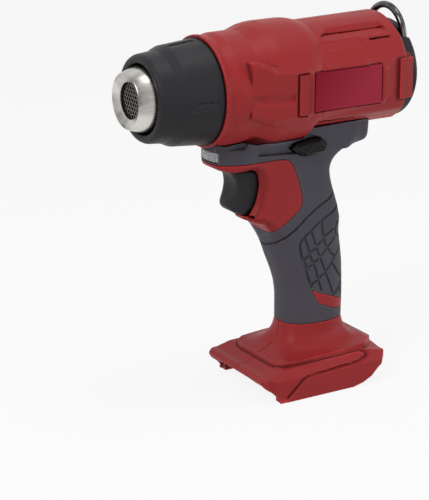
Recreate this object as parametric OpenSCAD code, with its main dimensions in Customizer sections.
// Cordless heat gun with a slide-pack foot.
// The nozzle points along -X, +Z is up, and the origin is the centre of the foot's underside.

/* [Barrel] */
// Height of the barrel's axis above the ground
axis_z = 203; // [190:1:220]
// Radius of the rear body
body_r = 37.2; // [36.8:0.1:38.4]
// Radius of the bulged front shell
shell_r = 39.6; // [39:0.1:41]
// Radius of the collar behind the black sleeve
collar_r = 35; // [34.6:0.1:36]
// Wall of the housing
wall = 2.5; // [2.2:0.1:3]
// Distance of the housing's front edge ahead of the foot's centre
collar_reach = 76.4; // [75:0.2:79]
// Distance of the housing's rear edge behind the foot's centre
body_back = 60.4; // [58:0.2:63]
// Depth of the rear body below the barrel's axis
under_h = 29.6; // [28.6:0.2:31]
// Half width over the flat side panels
panel_y = 37.4; // [36.6:0.1:38.4]
// Height of the side panels
panel_h = 35; // [32:0.5:38]

/* [Sleeve and nozzle] */
// Radius of the black sleeve at its rear
sleeve_r = 33; // [32.6:0.1:34]
// Radius of the sleeve's front ring
ring_r = 27.4; // [26.5:0.1:29]
// Distance of the sleeve's front edge ahead of the foot's centre
sleeve_reach = 118; // [116:0.5:120]
// Wall of the sleeve
sleeve_wall = 2.2; // [1.8:0.1:2.6]
// Radius of the steel nozzle
nozzle_r = 21; // [20:0.1:21.8]
// Sheet thickness of the nozzle
nozzle_wall = 1; // [0.8:0.1:1.4]
// Radius of the rolled lip
lip_r = 17.2; // [16.2:0.1:18.4]
// Radius of the mouth
mouth_r = 11.6; // [10:0.1:13]
// Distance of the lip ahead of the foot's centre
nozzle_reach = 127.5; // [126:0.5:131]
// Depth of the dished mouth
dish = 2.6; // [2:0.1:3.4]

/* [Grip] */
// Half width of the grip
grip_y = 17; // [16:0.2:18.5]
// Half width of the trigger panel
panel_grip_y = 18.9; // [18.4:0.1:19.4]
// Half width of the band where it meets the barrel
band_y = 24.4; // [23:0.2:26]
// Thickness of the soft covers
cover_t = 2.2; // [1.8:0.1:2.6]
// Length of the grip at its foot, front to back
grip_len = 45.8; // [43:0.2:48]
// Position of the grip's front edge at its foot, ahead of the foot's centre
grip_front = 15.4; // [13:0.2:17]

/* [Foot] */
// Width of the foot
foot_w = 77; // [72:0.5:82]
// Height of the foot's deck
deck_z = 23.5; // [22:0.5:26]
// Height where the neck meets the grip
neck_z = 41.5; // [39:0.5:45]
// Reach of the front lip ahead of the origin
lip_x = 49.4; // [48:0.2:51]
// Reach of the foot's rear behind the origin
foot_back = 46.4; // [44:0.2:48]
// Width of the channel that takes the battery pack
slot_w = 62; // [58:0.5:64]
// Height of that channel
slot_h = 12; // [11:0.5:12.5]
// How far each rail reaches in under the pack's shoulders
rail_in = 4; // [3:0.2:5]

/* [Controls] */
// Half width of the trigger
trigger_y = 12.2; // [11:0.1:12.8]
// Travel of the trigger
trigger_travel = 6; // [4:0.5:7]
// Travel of the lock slider to each side
lock_travel = 3; // [2:0.5:3.5]
// Wire radius of the hanging bail
bail_wire = 2.3; // [2:0.1:2.5]
// Radius of the bail's arch
bail_r = 19; // [17.5:0.5:19.5]

/* [Drive] */
// Radius of the motor
motor_r = 13.8; // [12.8:0.1:14.4]
// Length of the motor
motor_l = 36; // [32:0.5:40]
// Radius of the motor's shaft
shaft_r = 1.15; // [1:0.05:1.5]
// Radius of the fan
fan_r = 24.6; // [22:0.2:25]
// Number of blades on the fan
fan_blades = 7; // [5:1:9]
// Number of guide vanes round the motor
vanes = 5; // [4:1:6]
// Turns of the heating coil
coil_turns = 5; // [4:1:6]
// Radius of a housing screw
screw_r = 1.5; // [1.2:0.1:1.7]

/* [Hidden] */
$fn = 72;

red = [0.62, 0.13, 0.14];
grey = [0.3, 0.29, 0.31];
black = [0.12, 0.12, 0.13];
steel = [0.75, 0.74, 0.72];

clear = 0.2;          // gap between pieces that are fastened together
run = 0.3;            // gap round pieces that move in a slot
big = 400;

// ---- helpers ----
// A shape turned about the barrel's axis: its polygon holds [radius, x]
module lathe_x(z = axis_z) {
    translate([0, 0, z]) rotate([0, 90, 0]) rotate_extrude() children();
}
// A straight rod along X, radius r, from x0 to x1
module rod_x(r, x0, x1, z = axis_z, y = 0) {
    translate([x0, y, z]) rotate([0, 90, 0]) cylinder(r = r, h = x1 - x0);
}
// A tube along X
module tube_x(r, ri, x0, x1, z = axis_z) {
    difference() {
        rod_x(r, x0, x1, z);
        rod_x(ri, x0 - 1, x1 + 1, z);
    }
}
// A rod along Y from y0 to y1
module rod_y(r, x, z, y0, y1) {
    translate([x, y0, z]) rotate([-90, 0, 0]) cylinder(r = r, h = y1 - y0);
}
// A side view outline [x, z] given a thickness along Y
module side(points, y0, y1) {
    translate([0, y1, 0]) rotate([90, 0, 0]) linear_extrude(y1 - y0) polygon(points);
}
// A front view outline [y, z] given a length along X
module front(points, x0, x1) {
    translate([x0, 0, 0]) rotate([90, 0, 90]) linear_extrude(x1 - x0) polygon(points);
}
// A box between two corners
module block(a, b) {
    translate(a) cube(b - a);
}
module flip_y(right) {
    if (right) mirror([0, 1, 0]) children();
    else children();
}
// The half of the space on one side of the mould parting
module half(right) {
    intersection() {
        children();
        translate([-big, right ? 0 : -big, -big]) cube([2 * big, big, 2 * big]);
    }
}

// ---- barrel ----
front_x = -collar_reach;
sleeve_x = -sleeve_reach;
tip_x = -nozzle_reach;
plate_x = [-14.6, 36.3];                      // nameplate, front and rear edges
plate_z = [axis_z - 13.4, axis_z + 11.4];     // nameplate, lower and upper edges
rear_r = body_r - 4.4;                        // radius of the housing's rear edge
cap_r = rear_r - 0.8;
spigot_r = collar_r - wall - clear;

module barrel_outer() {
    lathe_x() polygon([[0, front_x], [collar_r - 0.6, front_x], [collar_r, front_x + 1],
        [collar_r, front_x + 3], [collar_r - 0.9, front_x + 4.2], [collar_r, front_x + 6],
        [collar_r + 0.6, -50.5], [shell_r - 0.8, -41.5], [shell_r, -36], [shell_r, -15],
        [shell_r - 0.8, -9], [body_r, -3], [body_r + 1.2, body_back - 4.4],
        [rear_r, body_back], [0, body_back]]);
}
module barrel_inner() {
    lathe_x() polygon([[0, front_x - 1], [collar_r - wall, front_x - 1], [collar_r - wall, -48.5],
        [shell_r - wall, -37], [shell_r - wall, -13], [body_r - wall, -4.5],
        [body_r - wall, body_back - wall], [0, body_back - wall]]);
}
// The rear body is flatter underneath: front view limit behind the shell
module underside_limit() {
    w = panel_y + 4;
    union() {
        block([-100, -w, 100], [-9, w, 300]);
        front([[-w, axis_z + 80], [-w, axis_z - 14], [-28, axis_z - under_h + 6.5], [-18, axis_z - under_h],
            [18, axis_z - under_h], [28, axis_z - under_h + 6.5], [w, axis_z - 14], [w, axis_z + 80]], -9.1, 95);
    }
}
// The raised side panel, on the left side, with its nameplate recess
panel_top = axis_z + panel_h / 2;
panel_low = axis_z - panel_h / 2;
module side_panel() {
    intersection() {
        side([[-61, axis_z + 8], [-42, panel_top - 2], [-14, panel_top - 2], [-6, panel_top + 1],
            [44, panel_top + 1], [53, axis_z + 12], [53, axis_z - 12], [44, panel_low - 1],
            [-10, panel_low - 1], [-22, panel_low + 2], [-61, axis_z - 8]], -panel_y - 2, -20);
        front([[-20, panel_low - 8], [-panel_y + 4, panel_low - 2], [-panel_y - 1, panel_low + 4],
            [-panel_y - 1, panel_top - 4], [-panel_y + 4, panel_top + 2], [-20, panel_top + 8]], -70, 60);
    }
}
module panel_limit(depth = 0) {
    block([-90, depth - panel_y, 0], [90, panel_y - depth, 300]);
}

// ---- handle outlines, side view ----
chin_z = axis_z - 91;
throat_z = axis_z - 60.4;
grip_mid = grip_len / 2 - grip_front;
function grip_at(share, top) = neck_z + share * (top - neck_z);
front_edge = [[neck_z - 2, -grip_front], [grip_at(0.25, chin_z), -grip_front],
    [grip_at(0.37, chin_z), -grip_front - 1.2], [grip_at(0.5, chin_z), -grip_front - 4.2],
    [grip_at(0.66, chin_z), -grip_front - 9], [grip_at(0.83, chin_z), -grip_front - 13.4],
    [chin_z, -grip_front - 17.8], [chin_z + 6, -grip_front - 19], [axis_z - 42, -grip_front - 19]];
rear_edge = [[neck_z - 2, grip_len - grip_front], [grip_at(0.18, throat_z), grip_len - grip_front + 0.4],
    [grip_at(0.38, throat_z), grip_len - grip_front - 0.2],
    [grip_at(0.52, throat_z), grip_len - grip_front - 2], [grip_at(0.67, throat_z), grip_len - grip_front - 5.2],
    [grip_at(0.79, throat_z), grip_len - grip_front - 8.4],
    [grip_at(0.92, throat_z), grip_len - grip_front - 12.2], [throat_z, grip_len - grip_front - 13.2],
    [axis_z - 56, grip_len - grip_front - 12.8], [axis_z - 52.2, grip_len - grip_front - 10.2],
    [axis_z - 48, grip_len - grip_front - 5], [axis_z - 44.6, grip_len - grip_front + 2],
    [axis_z - 42, grip_len - grip_front + 10]];

// Upper part of the handle: nose, trigger gap, chin and band, each [x, z]
nose = [[-75, axis_z - 20], [-75, axis_z - 36.5], [-71.6, axis_z - 44.5], [-67.4, axis_z - 49.6],
    [-60, axis_z - 52.2]];
gap_edge = [[-45.5, axis_z - 52.2], [-41.4, axis_z - 55], [-40, axis_z - 62], [-42.8, axis_z - 73.5],
    [-46.4, axis_z - 79]];
chin = [[-48, axis_z - 82.4], [-45, axis_z - 85.4], [-38, axis_z - 88.2]];
function swap(rows) = [for (p = rows) [p[1], p[0]]];
function between(rows, low, high) = [for (p = rows) if (p[0] > low && p[0] < high) p];
function backwards(rows) = [for (i = [len(rows) - 1:-1:0]) rows[i]];
function pulled(rows, t) = [for (p = rows) [p[0] - t, p[1]]];
handle_low = chin_z - 8;      // where the chin's solid runs out into the grip
band_back = grip_len - grip_front + 13.6;
throat = swap(between(rear_edge, handle_low, axis_z - 43));
function upper_outline(t) = concat(nose, gap_edge, chin, swap(backwards(between(front_edge, handle_low, chin_z + 1))),
    pulled(throat, t), [[band_back - 3 - t, axis_z - 42], [band_back - t, axis_z - 31], [band_back - t, axis_z - 20]]);

// Half width of the handle's upper part at each height, [z, y]
upper_width = [[handle_low - 20, grip_y + 0.2], [chin_z - 4, grip_y + 0.6], [chin_z + 8, panel_grip_y],
    [axis_z - 47, panel_grip_y + 0.4], [axis_z - 30, band_y], [axis_z - 20, band_y]];
// Front view of the upper part, pulled in by t
function upper_section(t) = concat([for (p = upper_width) [p[1] - t, p[0]]],
    [for (p = backwards(upper_width)) [-p[1] + t, p[0]]]);
// Plan outline of the handle's upper part, rounded at the nose and behind, pulled in by t
nose_r = 18;
nose_x = -53.7;
module upper_plan(t) {
    half_outline = concat([for (a = [0:15:75]) [nose_x - (nose_r - t) * cos(a), (nose_r - t) * sin(a)]],
        [[-50, 24 - t], [-36, 30], [band_back - 16, 30], [band_back - 7 - t, 23.4 - t], [band_back - 3 - t, 15],
        [band_back - t, 8]]);
    linear_extrude(axis_z) polygon(concat(half_outline, [for (p = backwards(half_outline)) [p[0], -p[1]]]));
}
// Front view of the band behind the grip, rounded underneath, pulled in by t
function tail_section(t) = let (rows = [[2, axis_z - 62], [9 - t, axis_z - 50 + t], [16 - t, axis_z - 43.4 + t],
    [22.4 - t, axis_z - 37 + t], [band_y - t, axis_z - 30], [band_y - t, axis_z - 20]])
    concat(rows, [for (p = backwards(rows)) [-p[0], p[1]]]);
tail_x = 8;
module upper_handle(t = 0) {
    intersection() {
        side(upper_outline(t), -30, 30);
        front(upper_section(t), -90, 60);
        upper_plan(t);
        union() {
            block([-90, -40, 0], [tail_x, 40, 300]);
            front(tail_section(t), tail_x - 0.1, 60);
        }
    }
}
// Red trigger panel that stays bare between the covers, [x, z]
panel_line = [[-90, axis_z - 40.2], [-67, axis_z - 43.8], [-26, axis_z - 45.6], [-20.4, axis_z - 48.2],
    [-18, axis_z - 52], [-10.6, axis_z - 74], [-12, axis_z - 80], [-19.8, axis_z - 86.4],
    [-33, axis_z - 91], [-46, axis_z - 91], [-90, axis_z - 91]];
// Edge between the red barrel and the grey band, [x, z]
band_line = [[-90, axis_z - 30.6], [-72, axis_z - 30.8], [-60, axis_z - 30], [-48, axis_z - 33.6],
    [-24, axis_z - 33], [-9, axis_z - 28.4], [46, axis_z - 27]];

// ---- lofted lower grip ----
ring_n = 36;
function power(v, n) = sign(v) * pow(abs(v), n);
// One ring of the grip at height z, pulled in by t
function grip_ring(z, t) = let (f = lookup(z, front_edge) + t, r = lookup(z, rear_edge) - t,
        c = (f + r) / 2, a = (r - f) / 2, w = lookup(z, [[neck_z, grip_y], [chin_z, grip_y + 0.8]]) - t)
    [for (i = [0:ring_n - 1]) let (q = 360 * i / ring_n)
        [c + a * power(cos(q), 0.86), w * power(sin(q), 0.86), z]];
module grip_loft(t, z0, z1, rows) {
    loft([for (k = [0:rows]) grip_ring(z0 + (z1 - z0) * k / rows, t)]);
}
// A solid through rings of ring_n points each, from the lowest up
module loft(rings) {
    rows = len(rings) - 1;
    points = [for (r = rings) each r];
    polyhedron(points, concat([[for (i = [0:ring_n - 1]) i]],
        [for (k = [0:rows - 1]) for (i = [0:ring_n - 1]) let (j = (i + 1) % ring_n)
            [k * ring_n + i, (k + 1) * ring_n + i, (k + 1) * ring_n + j, k * ring_n + j]],
        [[for (i = [ring_n - 1:-1:0]) rows * ring_n + i]]));
}
// Exact core under the covers: two slabs that stay inside the rounded grip
core_y = [grip_y - cover_t - 1.6, grip_y - cover_t - 5.8];
core_in = [cover_t + 7.2, cover_t + 2.2];
core_top = axis_z - 49.9;
core_z = [for (i = [0:14]) neck_z - 2 + (core_top - neck_z + 2) * i / 14];
function core_outline(k, t) = concat([for (z = backwards(core_z)) [lookup(z, front_edge) + core_in[k] + t, z]],
    [for (z = core_z) [min(lookup(z, rear_edge), grip_len) - core_in[k] - t, z]]);
module grip_core(t = 0) {
    for (k = [0, 1]) side(core_outline(k, t), -core_y[k] + t, core_y[k] - t);
}

// ---- foot ----
hw = foot_w / 2;
side_z = 15;                  // height of the foot's widest edge
module foot_outer() {
    intersection() {
        side([[-37.6, 0], [-lip_x, side_z - 1], [-lip_x, side_z], [-33, deck_z - 2.6], [24, deck_z + 0.8],
            [foot_back, deck_z - 3.4], [foot_back, 15.6], [39, 10], [34, 5], [27.4, 1.8], [19.4, 0]], -hw, hw);
        front([[-hw, 0], [-hw, side_z], [-31, deck_z + 3], [31, deck_z + 3], [hw, side_z], [hw, 0]],
            -60, 60);
        translate([0, 0, -1]) linear_extrude(60) polygon([[-lip_x, -hw + 6], [-lip_x + 8, -hw],
            [foot_back - 8, -hw], [foot_back, -hw + 8], [foot_back, hw - 8], [foot_back - 8, hw],
            [-lip_x + 8, hw], [-lip_x, hw - 6]]);
    }
}
// Raised deck on the foot
module foot_deck() {
    intersection() {
        side([[-33, deck_z - 5], [-32, deck_z - 0.6], [-26, deck_z + 1], [18, deck_z + 2],
            [foot_back - 8, deck_z + 4.2], [foot_back - 2.4, deck_z + 3], [foot_back - 2, deck_z - 8]], -31, 31);
        linear_extrude(80) polygon([[-33, -25], [-28, -30], [foot_back - 14, -30], [foot_back - 2, -20],
            [foot_back - 2, 20], [foot_back - 14, 30], [-28, 30], [-33, 25]]);
    }
}
// Neck that flares from the grip into the deck
neck_rows = 7;
function mix(a, b, share) = a + (b - a) * share;
function neck_ring(share) = let (g = 1 - pow(1 - share, 2.1), f = mix(-27, -grip_front, g),
        r = mix(foot_back - 3, grip_len - grip_front, g), w = mix(27, grip_y, g), e = mix(0.45, 0.86, share))
    [for (i = [0:ring_n - 1]) let (q = 360 * i / ring_n)
        [(f + r) / 2 + (r - f) / 2 * power(cos(q), e), w * power(sin(q), e), mix(deck_z, neck_z, share)]];
module foot_neck() {
    loft([for (k = [0:neck_rows]) neck_ring(k / neck_rows)]);
}
// Channel for the pack: arched at its mouth, with two rails
rail_z = 3;                   // underside of each rail
rail_t = 3.4;                 // thickness of each rail
slot_back = 27;
module foot_slot() {
    sw = slot_w / 2;
    difference() {
        union() {
            block([-60, -sw, -1], [slot_back, sw, slot_h]);
            front([[-hw + 1, -1], [-35, 4], [-31, 8.2], [-25, 11.4], [-15, 13.4], [15, 13.4], [25, 11.4],
                [31, 8.2], [35, 4], [hw - 1, -1]], -60, -37.2);
        }
        for (s = [-1, 1]) block([-36, s > 0 ? sw - rail_in : -sw - 1, rail_z],
            [slot_back + 1, s > 0 ? sw + 1 : -sw + rail_in, rail_z + rail_t]);
    }
}

// ---- screws ----
// Every housing screw, [x, z, y of the head's seat]
boss_r = screw_r + 2;
screws = [[50, axis_z + body_r - 6.6, 13], [-26, axis_z + shell_r - 6.6, 13], [50, axis_z - under_h + 3, 13],
    [-58, axis_z - 42.4, 12], [-32, chin_z + 2, 12], [5, throat_z - 3, 13], [0, grip_at(0.66, chin_z), 11], [9, neck_z + 7, 11]];
head_r = screw_r * 1.9;
head_h = 2.2;
module screw_bosses() {
    for (s = screws) rod_y(boss_r, s[0], s[1], -s[2], s[2]);
}
module housing_screws() {
    color(steel) for (s = screws) difference() {
        union() {
            rod_y(screw_r, s[0], s[1], -8, s[2] + 0.01);
            rod_y(head_r, s[0], s[1], s[2], s[2] + head_h);
        }
        translate([s[0], s[2] + head_h, s[1]]) rotate([90, 0, 0]) cylinder(r = screw_r, h = 1, $fn = 6);
    }
}

// ---- controls, positions ----
lock_x = -7.8;
lock_z = axis_z - 39.4;
lock_w = 13;                  // bar of the slider, front to back
lock_h = 6;
led_z = axis_z - 39.6;
lens_back = 66;               // rear of the lamp's lens, ahead of the origin
switch_x = [-33, -8];
switch_z = [axis_z - 80, axis_z - 54];
stem_z = axis_z - 66;         // height of the plunger and its spring
stem_r = 2.2;

// ---- inner seats along the barrel ----
ring_x = -52;                 // front face of the insulating ring
ring_t = 4;
shroud_x = [-30, 10];
shroud_r = fan_r + 2;
shroud_wall = 1.2;
motor_x = -1;                 // front face of the motor
cup_wall = 1.6;
cap_seat_r = rear_r - 3.2;    // bore in the housing's rear wall
module inner_ribs() {
    for (x = [ring_x - clear - 2, ring_x + ring_t + clear]) intersection() {
        tube_x(shell_r - 1, ring_x < x ? 28 : 28.6, x, x + 2);
        barrel_outer_skin();
        panel_limit(1.6);
    }
    for (x = [shroud_x[0] + 1, shroud_x[1] - 4]) intersection() {
        tube_x(shell_r - 1, shroud_r + clear, x, x + 2.4);
        barrel_outer_skin();
        panel_limit(1.6);
    }
    tube_x(collar_r - 1, spigot_r - 3, front_x + 12.4, front_x + 14.4);
}
module barrel_outer_skin() {
    lathe_x() polygon([[0, front_x], [collar_r - 1, front_x], [collar_r - 1, -49], [shell_r - 1, -38],
        [shell_r - 1, -14], [body_r - 1, -4], [body_r - 1, body_back - 2], [0, body_back - 2]]);
}

// ---- housing halves ----
module housing_solid() {
    intersection() {
        union() {
            barrel_outer();
            side_panel();
            mirror([0, 1, 0]) side_panel();
        }
        panel_limit();
        underside_limit();
    }
    difference() {
        upper_handle(cover_t);
        block([-40, -40, 0], [60, 40, axis_z - 50]);
    }
    intersection() {
        upper_handle();
        side(panel_line, -30, 30);
    }
    grip_core();
    foot_outer();
    foot_deck();
    foot_neck();
}
module housing_hollow() {
    intersection() {
        barrel_inner();
        translate([0, 0, wall]) underside_limit();
        block([-100, wall - panel_y, 0], [100, panel_y - wall, 300]);
    }
    // handle cavity, open into the barrel
    intersection() {
        side([[-70, axis_z - 20], [-70, axis_z - 42], [-65, axis_z - 48.6], [-60, axis_z - 49.6],
            [-40, axis_z - 49.6], [-36, axis_z - 53], [-36, axis_z - 76], [-32, chin_z + 8],
            [-26, chin_z - 6], [4, chin_z - 6], [6, throat_z - 8], [6, axis_z - 54], [14, axis_z - 46],
            [band_back - 10, axis_z - 37], [band_back - 10, axis_z - 20]], -30, 30);
        union() {
            intersection() {
                front(upper_section(cover_t + wall), -80, 60);
                upper_plan(cover_t + wall);
                block([-90, -40, axis_z - 47.6], [90, 40, axis_z]);
            }
            block([-70, -core_y[0] + wall, 0], [60, core_y[0] - wall, axis_z - 47]);
        }
    }
    for (k = [0, 1]) side(core_outline(k, wall), -core_y[k] + wall, core_y[k] - wall);
    // neck and terminal pocket
    block([-7, -core_y[0] + wall, slot_h + 2], [23, core_y[0] - wall, neck_z]);
    foot_slot();
}
slot_floor = sqrt(pow(body_r, 2) - 400) - 0.8;   // depth of the upper slots, 20 from the middle
module housing_cuts() {
    // trigger mouth
    block([-60, -trigger_y - run, axis_z - 83.6], [-32.8, trigger_y + run, axis_z - 52.3]);
    lock_way();
    // lamp window in the nose
    block([-80, -12.4, led_z - 4.4], [-lens_back - 0.2, 12.4, led_z + 4.4]);
    block([-lens_back - 0.4, -8.2, led_z - 3.8], [-lens_back + 4, 8.2, led_z + 3.8]);
    // rear opening for the cap
    rod_x(cap_seat_r, body_back - 10, body_back + 10);
    // terminal block's window in the channel's roof
    block([2 - clear, -20 - clear, slot_h - 1], [22 + clear, 20 + clear, slot_h + 4]);
    // nameplate recesses
    for (s = [-1, 1]) block([plate_x[0] - clear, s > 0 ? panel_y - 1.2 : -panel_y - 1, plate_z[0] - clear],
        [plate_x[1] + clear, s > 0 ? panel_y + 1 : -panel_y + 1.2, plate_z[1] + clear]);
    // upper slots and the shallow ones
    for (s = [-1, 1]) {
        block([1, s * 20 - 1.3, axis_z + slot_floor], [43, s * 20 + 1.3, axis_z + body_r + 3]);
        block([36, s > 0 ? 24 : -40, axis_z + 25.4], [49, s > 0 ? 40 : -24, axis_z + 27.4]);
        block([-7, s > 0 ? 23.4 : -40, axis_z - 26], [22, s > 0 ? 40 : -23.4, axis_z - 24.2]);
    }
}
module screw_ways() {
    for (s = screws) {
        rod_y(screw_r + 0.05, s[0], s[1], -8.2, s[2]);
        rod_y(head_r + clear, s[0], s[1], s[2], 45);
    }
}
module housing_half(right) {
    half(right) difference() {
        union() {
            difference() {
                housing_solid();
                housing_hollow();
            }
            inner_ribs();
            screw_bosses();
        }
        housing_cuts();
        screw_ways();
    }
    // grip bar beside the nameplate, and the lug that clips over the rear cap
    flip_y(right) {
        block([-25, -panel_y - 1.1, axis_z - 14.6], [-19, -panel_y + 0.6, axis_z + 11.4]);
        side([[body_back - 7, axis_z - 12], [body_back + 2.2, axis_z - 11], [body_back + 2.2, axis_z + 10],
            [body_back - 7, axis_z + 12]], -rear_r - 1.6, -cap_r - 0.35);
    }
}
module left_housing() {
    color(red) housing_half(false);
}
module right_housing() {
    color(red) housing_half(true);
}

// ---- sleeve, nozzle and heater ----
module front_sleeve() {
    color(black) lathe_x() polygon([[nozzle_r + 1.6, sleeve_x + 1], [nozzle_r + 2.6, sleeve_x],
        [ring_r - 1.6, sleeve_x], [ring_r - 0.2, sleeve_x + 2], [ring_r + 0.8, sleeve_x + 11], [sleeve_r - 2.4, sleeve_x + 18],
        [sleeve_r - 1.4, sleeve_x + 21], [sleeve_r, front_x - 1], [sleeve_r - 0.4, front_x],
        [spigot_r, front_x], [spigot_r, front_x + 12], [spigot_r - sleeve_wall, front_x + 12],
        [spigot_r - sleeve_wall, front_x - 6], [sleeve_r - 2.4 - sleeve_wall, sleeve_x + 22],
        [ring_r + 0.8 - sleeve_wall, sleeve_x + 13], [ring_r - 0.2 - sleeve_wall, sleeve_x + 4],
        [nozzle_r + 1.6, sleeve_x + 4]]);
}
seat_x = tip_x + 24;           // bead that stops a loose nozzle pushed over the tube
module nozzle_tube() {
    w = nozzle_wall;
    color(steel) lathe_x() polygon([[mouth_r, tip_x + dish], [lip_r - 0.8, tip_x], [lip_r, tip_x + 0.3],
        [lip_r + 1.5, tip_x + 4], [nozzle_r - 0.7, tip_x + 10], [nozzle_r, tip_x + 14], [nozzle_r, seat_x],
        [nozzle_r + 0.8, seat_x + 1.2], [nozzle_r + 0.8, seat_x + 2.2], [nozzle_r - 0.4, seat_x + 3.6],
        [nozzle_r - 0.4, ring_x - w], [nozzle_r + 4.6, ring_x - w], [nozzle_r + 4.6, ring_x], [nozzle_r - w, ring_x],
        [nozzle_r - w, tip_x + 14.4], [nozzle_r - 0.7 - w, tip_x + 10.6], [lip_r + 0.2, tip_x + 4.4],
        [lip_r - 1.4, tip_x + 1.6], [mouth_r + 0.6, tip_x + dish + 1]]);
}
mesh_x = tip_x + dish + 1.2;   // front face of the mouth's perforated disc
module nozzle_grille() {
    hole = 0.95;
    pitch = 2.7;
    color([0.3, 0.3, 0.31]) difference() {
        lathe_x() polygon([[0, mesh_x], [mouth_r + 1, mesh_x], [lip_r - 0.6, tip_x + 3.2],
            [lip_r - 0.6, tip_x + 4.2], [mouth_r + 1, mesh_x + 1], [0, mesh_x + 1]]);
        for (i = [-4:4]) for (j = [-4:4])
            if (norm([pitch * (i + j / 2), pitch * j * sin(60)]) < mouth_r - hole)
                rod_x(hole, mesh_x - 1, mesh_x + 3, axis_z + pitch * j * sin(60), pitch * (i + j / 2));
    }
}
module insulating_ring() {
    color([0.85, 0.82, 0.72]) tube_x(collar_r - wall - clear, nozzle_r - nozzle_wall - 1.4, ring_x, ring_x + ring_t);
}
module air_funnel() {
    f = nozzle_r - nozzle_wall;
    color([0.55, 0.55, 0.56]) lathe_x() polygon([[f - 1.2, ring_x + ring_t], [f + 4, ring_x + ring_t],
        [f + 4, ring_x + ring_t + 1], [f, ring_x + ring_t + 1], [shroud_r, shroud_x[0] - 1], [shroud_r, shroud_x[0]],
        [shroud_r - 1.2, shroud_x[0]], [f - 1.2, ring_x + ring_t + 1.2]]);
}
mica_r = nozzle_r - nozzle_wall - 0.15;
module mica_tube() {
    color([0.8, 0.72, 0.5]) tube_x(mica_r, mica_r - 0.7, tip_x + 16, ring_x);
}
former_x = [tip_x + 22, ring_x - 4];
former_r = mica_r - 0.9;
blade_t = 1.2;
coil_r = [6.5, 12.5];
coil_wire = 0.5;
coil_x0 = former_x[0] + 4;
coil_pitch = (former_x[1] - former_x[0] - 8) / coil_turns;
module heater_former() {
    n = coil_wire + clear;
    color([0.88, 0.85, 0.78]) difference() {
        union() {
            for (a = [0, 60, 120]) rotate_about_axis(a)
                block([former_x[0], -blade_t / 2, axis_z - former_r], [former_x[1], blade_t / 2, axis_z + former_r]);
            rod_x(3.2, former_x[0] - 0.6, former_x[1] + 0.6);
        }
        rod_x(1.6, former_x[0] - 2, former_x[1] + 2);
        for (r = coil_r) for (k = [0:coil_turns * 6]) rotate_about_axis(60 * k) {
            x = coil_x0 + coil_pitch * k / 6;
            block([x - n, -blade_t, axis_z + r - n], [x + n, blade_t, axis_z + r + n]);
        }
    }
}
// Two wound coils, each carried in the notches of the former's blades
coil_steps = 20;
module heater_coil() {
    color([0.6, 0.45, 0.3]) for (r = coil_r) sweep([for (k = [0:coil_turns * coil_steps])
        let (a = 360 * k / coil_steps) [coil_x0 + coil_pitch * k / coil_steps, -r * sin(a), axis_z + r * cos(a)]],
        coil_wire, 6);
}
// A round bar swept along points, closed at both ends
module sweep(path, r, sides) {
    n = len(path);
    function ahead(i) = let (d = path[min(i + 1, n - 1)] - path[max(i - 1, 0)]) d / norm(d);
    function across(i) = let (d = ahead(i), u = cross(d, abs(d[1]) > 0.9 ? [1, 0, 0] : [0, 1, 0])) u / norm(u);
    points = [for (i = [0:n - 1]) let (u = across(i), v = cross(ahead(i), u))
        for (k = [0:sides - 1]) path[i] + r * (u * cos(360 * k / sides) + v * sin(360 * k / sides))];
    polyhedron(points, concat([[for (k = [0:sides - 1]) sides - 1 - k]],
        [for (i = [0:n - 2]) for (k = [0:sides - 1]) let (m = (k + 1) % sides)
            [i * sides + k, i * sides + m, (i + 1) * sides + m, (i + 1) * sides + k]],
        [[for (k = [0:sides - 1]) (n - 1) * sides + k]]));
}
module rotate_about_axis(a) {
    translate([0, 0, axis_z]) rotate([a, 0, 0]) translate([0, 0, -axis_z]) children();
}
module thermal_fuse() {
    color([0.8, 0.8, 0.82]) {
        rod_x(1.3, former_x[1] - 12, former_x[1] - 4, axis_z + 16.2, blade_t / 2 + 1.5);
        rod_x(0.5, former_x[1] - 18, former_x[1] + 2, axis_z + 16.2, blade_t / 2 + 1.5);
    }
}

// ---- fan and motor ----
module fan_shroud() {
    color([0.2, 0.2, 0.22]) difference() {
        union() {
            tube_x(shroud_r, shroud_r - shroud_wall, shroud_x[0] + clear, shroud_x[1]);
            tube_x(motor_r + cup_wall, motor_r + 0.1, motor_x - 1.6, motor_x + 10);
            rod_x(motor_r + 0.8, motor_x - 1.6, motor_x - 0.1);
            for (k = [0:vanes - 1]) rotate_about_axis(360 * k / vanes + 18)
                block([motor_x - 1, -0.8, axis_z + motor_r + 0.6], [shroud_x[1] - 2, 0.8, axis_z + shroud_r - 0.6]);
        }
        rod_x(5, motor_x - 4, motor_x + 1);
    }
}
fan_x = [-23, -8];
hub_r = 9;
module fan_impeller() {
    color([0.75, 0.76, 0.78]) difference() {
        union() {
            rod_x(hub_r, fan_x[0] + 2, fan_x[1]);
            lathe_x() polygon([[0, fan_x[0]], [hub_r - 3, fan_x[0]], [hub_r, fan_x[0] + 2.5], [0, fan_x[0] + 2.5]]);
            for (k = [0:fan_blades - 1]) rotate_about_axis(360 * k / fan_blades) intersection() {
                translate([(fan_x[0] + fan_x[1]) / 2 + 0.6, 0, axis_z + hub_r - 1]) rotate([0, 0, 38])
                    block([-8, -0.6, 0], [8, 0.6, fan_r - hub_r + 1]);
                rotate_about_axis(-360 * k / fan_blades) rod_x(fan_r, fan_x[0] + 1, fan_x[1] - 0.5);
            }
        }
        rod_x(shaft_r, fan_x[0] - 1, fan_x[1] + 1);
    }
}
bush_r = 3.4;
can_wall = 1.2;
motor_back = motor_x + motor_l;
module motor_can() {
    color(steel) difference() {
        union() {
            rod_x(motor_r, motor_x, motor_back - 4);
            rod_x(4.6, motor_x - 2, motor_x);
        }
        rod_x(motor_r - can_wall, motor_x + 1.4, motor_back + 1);
        rod_x(bush_r, motor_x - 3, motor_x + 3);
    }
}
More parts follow.
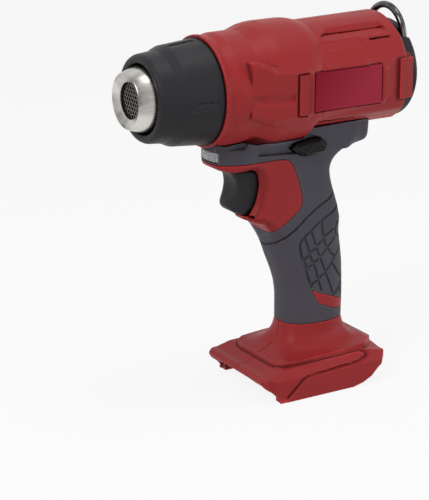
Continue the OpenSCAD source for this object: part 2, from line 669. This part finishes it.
module motor_end_bell() {
    color(black) difference() {
        union() {
            rod_x(motor_r, motor_back - 4, motor_back);
            rod_x(4.8, motor_back - 1, motor_back + 2.4);
        }
        rod_x(motor_r - can_wall - 1, motor_back - 5, motor_back - 1.6);
        rod_x(bush_r, motor_back - 4, motor_back + 1.6);
        rod_x(shaft_r + 0.3, motor_back, motor_back + 4);
    }
}
magnet_r = motor_r - can_wall;
rotor_r = magnet_r - 2.6;
module motor_magnets() {
    color([0.25, 0.25, 0.27]) intersection() {
        tube_x(magnet_r, rotor_r + 0.5, motor_x + 3, motor_back - 9);
        for (s = [0, 180]) rotate_about_axis(s)
            block([motor_x, -magnet_r, axis_z + 3.4], [motor_back, magnet_r, axis_z + magnet_r + 1]);
    }
}
module motor_bushes() {
    color([0.7, 0.55, 0.3]) {
        tube_x(bush_r, shaft_r + 0.04, motor_x - 1.8, motor_x + 2.2);
        tube_x(bush_r, shaft_r + 0.04, motor_back - 2.4, motor_back + 1.4);
    }
}
module motor_shaft() {
    color(steel) rod_x(shaft_r, fan_x[0] - 1, motor_back + 1.2);
}
module motor_armature() {
    slots = 5;
    color([0.6, 0.4, 0.25]) difference() {
        union() {
            rod_x(rotor_r, motor_x + 4.4, motor_back - 11);
            rod_x(3.2, motor_x + 3, motor_back - 3);
        }
        rod_x(shaft_r, motor_x, motor_back + 1);
        for (k = [0:slots - 1]) rotate_about_axis(360 * k / slots)
            block([motor_x + 4, -1, axis_z + 5], [motor_back - 10, 1, axis_z + rotor_r + 1]);
    }
}

// ---- rear cap and bail ----
cap_x = body_back + clear;
cap_back = body_back + 9;
pivot_x = body_back + 5;
pivot_z = axis_z + 21.6;
leg = 2.4;                    // straight length of the bail's legs
pin_in = 5;                   // length of the bail's inturned ends
module bail_arch(r, up) {
    translate([pivot_x, 0, pivot_z + up * leg]) rotate([0, 90, 0]) rotate([0, 0, up > 0 ? 90 : -90])
        rotate_extrude(angle = 180) translate([bail_r, 0]) circle(r, $fn = 32);
}
module rear_cap() {
    groove = bail_wire + 0.5;
    color(black) difference() {
        union() {
            lathe_x() polygon([[0, cap_x], [cap_r, cap_x], [cap_r, cap_back - 2.2], [cap_r - 1.4, cap_back - 0.8],
                [cap_r - 5, cap_back], [0, cap_back]]);
            rod_x(cap_seat_r - clear, cap_x - 5, cap_x + 1);
        }
        rod_x(cap_seat_r - 2.4, cap_x - 6, cap_x + 0.4);
        // way for the bail, standing and folded
        for (s = [-1, 1]) block([pivot_x - groove, s * bail_r - groove, pivot_z - leg - 1],
            [cap_back + 1, s * bail_r + groove, axis_z + cap_r + 2]);
        intersection() {
            tube_x(bail_r + groove, bail_r - groove, pivot_x - groove, cap_back + 1, pivot_z - leg);
            block([0, -big, 0], [big, big, pivot_z - leg]);
        }
        // pivot holes for the inturned ends
        for (s = [-1, 1]) rod_y(bail_wire * 0.7 + 0.05, pivot_x, pivot_z,
            s > 0 ? bail_r - groove - pin_in : -bail_r, s > 0 ? bail_r : -bail_r + groove + pin_in);
        // air slots
        for (z = [-18:6:18]) block([cap_x - 1, -sqrt(pow(cap_r - 9, 2) - z * z) + (abs(z) > 15 ? 6 : 0),
            axis_z + z - 3.2], [cap_back + 1, -bail_r * (abs(z) < 1 ? 0 : 1) - 100, axis_z + z - 1]);
        for (z = [-9.4:4.7:9.4]) block([cap_x - 1, -10.6, axis_z + z + 3.4], [cap_back + 1, 10.6, axis_z + z + 5.8]);
        for (s = [-1, 1]) for (z = [-25:4.7:-12]) block([cap_x - 1, s > 0 ? 2.4 : -11, axis_z + z],
            [cap_back + 1, s > 0 ? 11 : -2.4, axis_z + z + 2]);
    }
}
module hanging_bail() {
    color([0.5, 0.5, 0.52]) {
        bail_arch(bail_wire, 1);
        for (s = [-1, 1]) {
            translate([pivot_x, s * bail_r, pivot_z]) cylinder(r = bail_wire, h = leg);
            translate([pivot_x, s * bail_r, pivot_z]) sphere(bail_wire);
            rod_y(bail_wire * 0.7, pivot_x, pivot_z, s > 0 ? bail_r - pin_in - bail_wire : -bail_r,
                s > 0 ? bail_r : -bail_r + pin_in + bail_wire);
        }
    }
}

// ---- soft covers, accents and nameplates ----
// Red chevron let into the cover, [x, z]
accent_line = [[-1, grip_at(0.33, chin_z)], [2.8, grip_at(0.2, chin_z)], [17.2, grip_at(0.12, chin_z)],
    [40, grip_at(0.12, chin_z)], [40, grip_at(0.21, chin_z)], [22, grip_at(0.21, chin_z)],
    [9, grip_at(0.26, chin_z)]];
module grip_cover(right) {
    half(right) difference() {
        union() {
            grip_loft(0, neck_z + clear, axis_z - 43, 27);
            difference() {
                upper_handle();
                block([-40, -40, 0], [60, 40, axis_z - 50]);
                block([-90, -40, 0], [-39, 40, axis_z - 54]);
            }
        }
        grip_core(-clear);
        difference() {
            upper_handle(cover_t - clear);
            block([-40, -40, 0], [60, 40, axis_z - 50 - clear]);
        }
        side(panel_line, -31, 31);
        side(concat(band_line, [[60, axis_z - 27], [60, axis_z], [-90, axis_z]]), -40, 40);
        intersection() {
            lathe_x() polygon([[0, front_x - 4], [sleeve_r + clear, front_x - 4], [sleeve_r + clear, front_x],
                [collar_r + clear, front_x], [collar_r + 0.8, -50], [shell_r + clear, -40],
                [shell_r + clear, -9], [body_r + 0.9, -3], [body_r + 1.5, 60], [0, 60]]);
            translate([0, 0, -clear]) underside_limit();
        }
        side(accent_line, -40, 40);
        block([-60, -trigger_y - run, axis_z - 83.6], [-32, trigger_y + run, axis_z - 50]);
        lock_way();
        block([-80, -12.4, led_z - 4.4], [-lens_back - 0.2, 12.4, led_z + 4.4]);
        for (s = screws) {
            rod_y(boss_r + clear, s[0], s[1], -s[2] - clear, s[2] + clear);
            rod_y(head_r + clear, s[0], s[1], s[2], 45);
        }
    }
}
module left_grip_cover() {
    color(grey) grip_cover(false);
}
module right_grip_cover() {
    color(grey) grip_cover(true);
}
module accent(right) {
    color(red) half(right) difference() {
        intersection() {
            grip_loft(0, neck_z + 4, chin_z - 30, 8);
            side(accent_line, -40, 40);
        }
        grip_core(-clear);
    }
}
module left_accent() {
    accent(false);
}
module right_accent() {
    accent(true);
}
module nameplate() {
    color([0.5, 0.04, 0.14]) block([plate_x[0], -panel_y + 0.3, plate_z[0]],
        [plate_x[1], -panel_y + 1.2, plate_z[1]]);
}
module left_nameplate() {
    nameplate();
}
module right_nameplate() {
    mirror([0, 1, 0]) nameplate();
}

// ---- trigger group ----
module trigger() {
    color(black) difference() {
        intersection() {
            side([[-59, axis_z - 52.6], [-55.6, axis_z - 55], [-53.4, axis_z - 58.6], [-52.6, axis_z - 63.4],
                [-54, axis_z - 68.4], [-57.6, axis_z - 73], [-58.2, axis_z - 76.4], [-54.8, axis_z - 79.6],
                [-50.4, axis_z - 81.2], [-47, axis_z - 80.6], [-39.6, axis_z - 78], [-39.6, axis_z - 54.4],
                [-46, axis_z - 52.6]], -trigger_y, trigger_y);
            linear_extrude(axis_z) polygon([[-59.6, -2.6], [-59.6, 2.6], [-57.6, 6.6], [-53, 10.2], [-49, trigger_y],
                [-30, trigger_y], [-30, -trigger_y], [-49, -trigger_y], [-53, -10.2], [-57.6, -6.6]]);
        }
        rod_x(stem_r + 1.9, -46, -30, stem_z);
    }
}
module switch_plunger() {
    color([0.8, 0.78, 0.7]) rod_x(stem_r - 0.4, -46, switch_x[0] + 8, stem_z);
}
module trigger_spring() {
    turns = 5;
    x0 = -45.8;
    x1 = switch_x[0] - 0.2;
    color(steel) for (k = [0:turns - 1]) translate([x0 + 0.4 + k * (x1 - x0 - 0.8) / (turns - 1), 0, stem_z])
        rotate([0, 90, 0]) rotate_extrude() translate([stem_r + 0.9, 0]) circle(0.4, $fn = 16);
}
module switch_body() {
    color([0.15, 0.15, 0.16]) difference() {
        union() {
            block([switch_x[0], -9, switch_z[0]], [switch_x[1], 9, switch_z[1]]);
            block([switch_x[1] - 0.1, -5, switch_z[0] + 4], [switch_x[1] + 4, 5, switch_z[1] - 4]);
        }
        rod_x(stem_r - 0.35, switch_x[0] - 1, switch_x[0] + 14.6, stem_z);
    }
}

// ---- lock slider, lamp ----
knob = [[-13.4, 0.6], [-4, 5.4], [8.6, 5.4], [13.2, 2], [11, -3.6], [-5, -5], [-12.4, -1.4]];
knob_y = 26;
module knob_prism(y0, y1, grow) {
    side([for (p = knob) [lock_x + p[0] * (1 + grow / 9), lock_z + p[1] * (1 + grow / 4)]], y0, y1);
}
module lock_way() {
    knob_prism(-40, 40, run);
}
module lock_slider() {
    color(black) {
        block([lock_x - lock_w / 2, -16, lock_z - lock_h / 2], [lock_x + lock_w / 2, 16, lock_z + lock_h / 2]);
        knob_prism(15, knob_y, 0);
        knob_prism(-knob_y, -15, 0);
    }
}
module led_lens() {
    color([0.85, 0.85, 0.85, 0.6]) intersection() {
        block([-80, -12.2, led_z - 4.2], [-lens_back - 0.4, 12.2, led_z + 4.2]);
        upper_handle();
    }
}
module led_board() {
    color([0.1, 0.4, 0.2]) {
        block([-lens_back, -8, led_z - 3.6], [-lens_back + 1.4, 8, led_z + 3.6]);
        for (s = [-5, 0, 5]) block([-lens_back - 0.2, s - 1, led_z - 1], [-lens_back, s + 1, led_z + 1]);
    }
}

// ---- electronics ----
board_x = [-8.2, 12.8];
module control_board() {
    z0 = neck_z + 13;
    z1 = grip_at(0.56, chin_z);
    color([0.1, 0.4, 0.2]) block([board_x[0], 3, z0], [board_x[1], 4.6, z1]);
    color(black) block([board_x[0] + 2, 4.6, z0 + 2], [board_x[0] + 9, 6, z0 + 9]);
}
module heatsink() {
    z0 = neck_z + 15;
    color(steel) {
        block([board_x[0] + 1, 1.5, z0], [board_x[1] - 1, 3, z0 + 16]);
        for (k = [0:3]) block([board_x[0] + 2 + 4 * k, -3, z0], [board_x[0] + 3 + 4 * k, 1.6, z0 + 16]);
    }
}
module terminal_block() {
    color(black) difference() {
        block([2, -20, slot_h - 0.6], [22, 20, slot_h + 4]);
        for (y = terminals) block([3, y - 0.5, 0], [18, y + 0.5, slot_h + 10]);
    }
    color(black) block([2.4, -10, slot_h + 4], [21.6, 10, slot_h + 9]);
}
terminals = [-14, -7, 7, 14];
module terminal_blades() {
    color([0.75, 0.6, 0.3]) for (y = terminals) block([3.2, y - 0.4, 4], [17.8, y + 0.4, slot_h + 3.9]);
}
module power_leads() {
    color([0.7, 0.1, 0.1]) for (s = [-1, 1]) sweep([[17, 3 * s, slot_h + 9.2], [16.8, 3 * s, neck_z],
        [16, 3 * s, grip_at(0.5, chin_z)], [12, 3 * s, grip_at(0.9, chin_z)], [4, 3 * s, switch_z[0] - 7],
        [-8, 3 * s, switch_z[0] - 6], [-13.4, 3 * s, switch_z[0] - 4], [-14, 3 * s, switch_z[0] - 2],
        [-14, 3 * s, switch_z[0] - 0.02]], 1.2, 8);
}

left_housing();
right_housing();
front_sleeve();
nozzle_tube();
nozzle_grille();
rear_cap();
hanging_bail();
left_grip_cover();
right_grip_cover();
left_accent();
right_accent();
left_nameplate();
right_nameplate();
trigger();
trigger_spring();
switch_body();
switch_plunger();
lock_slider();
led_lens();
led_board();
insulating_ring();
air_funnel();
mica_tube();
heater_former();
heater_coil();
thermal_fuse();
fan_shroud();
fan_impeller();
motor_can();
motor_end_bell();
motor_magnets();
motor_bushes();
motor_armature();
motor_shaft();
control_board();
heatsink();
terminal_block();
terminal_blades();
power_leads();
housing_screws();
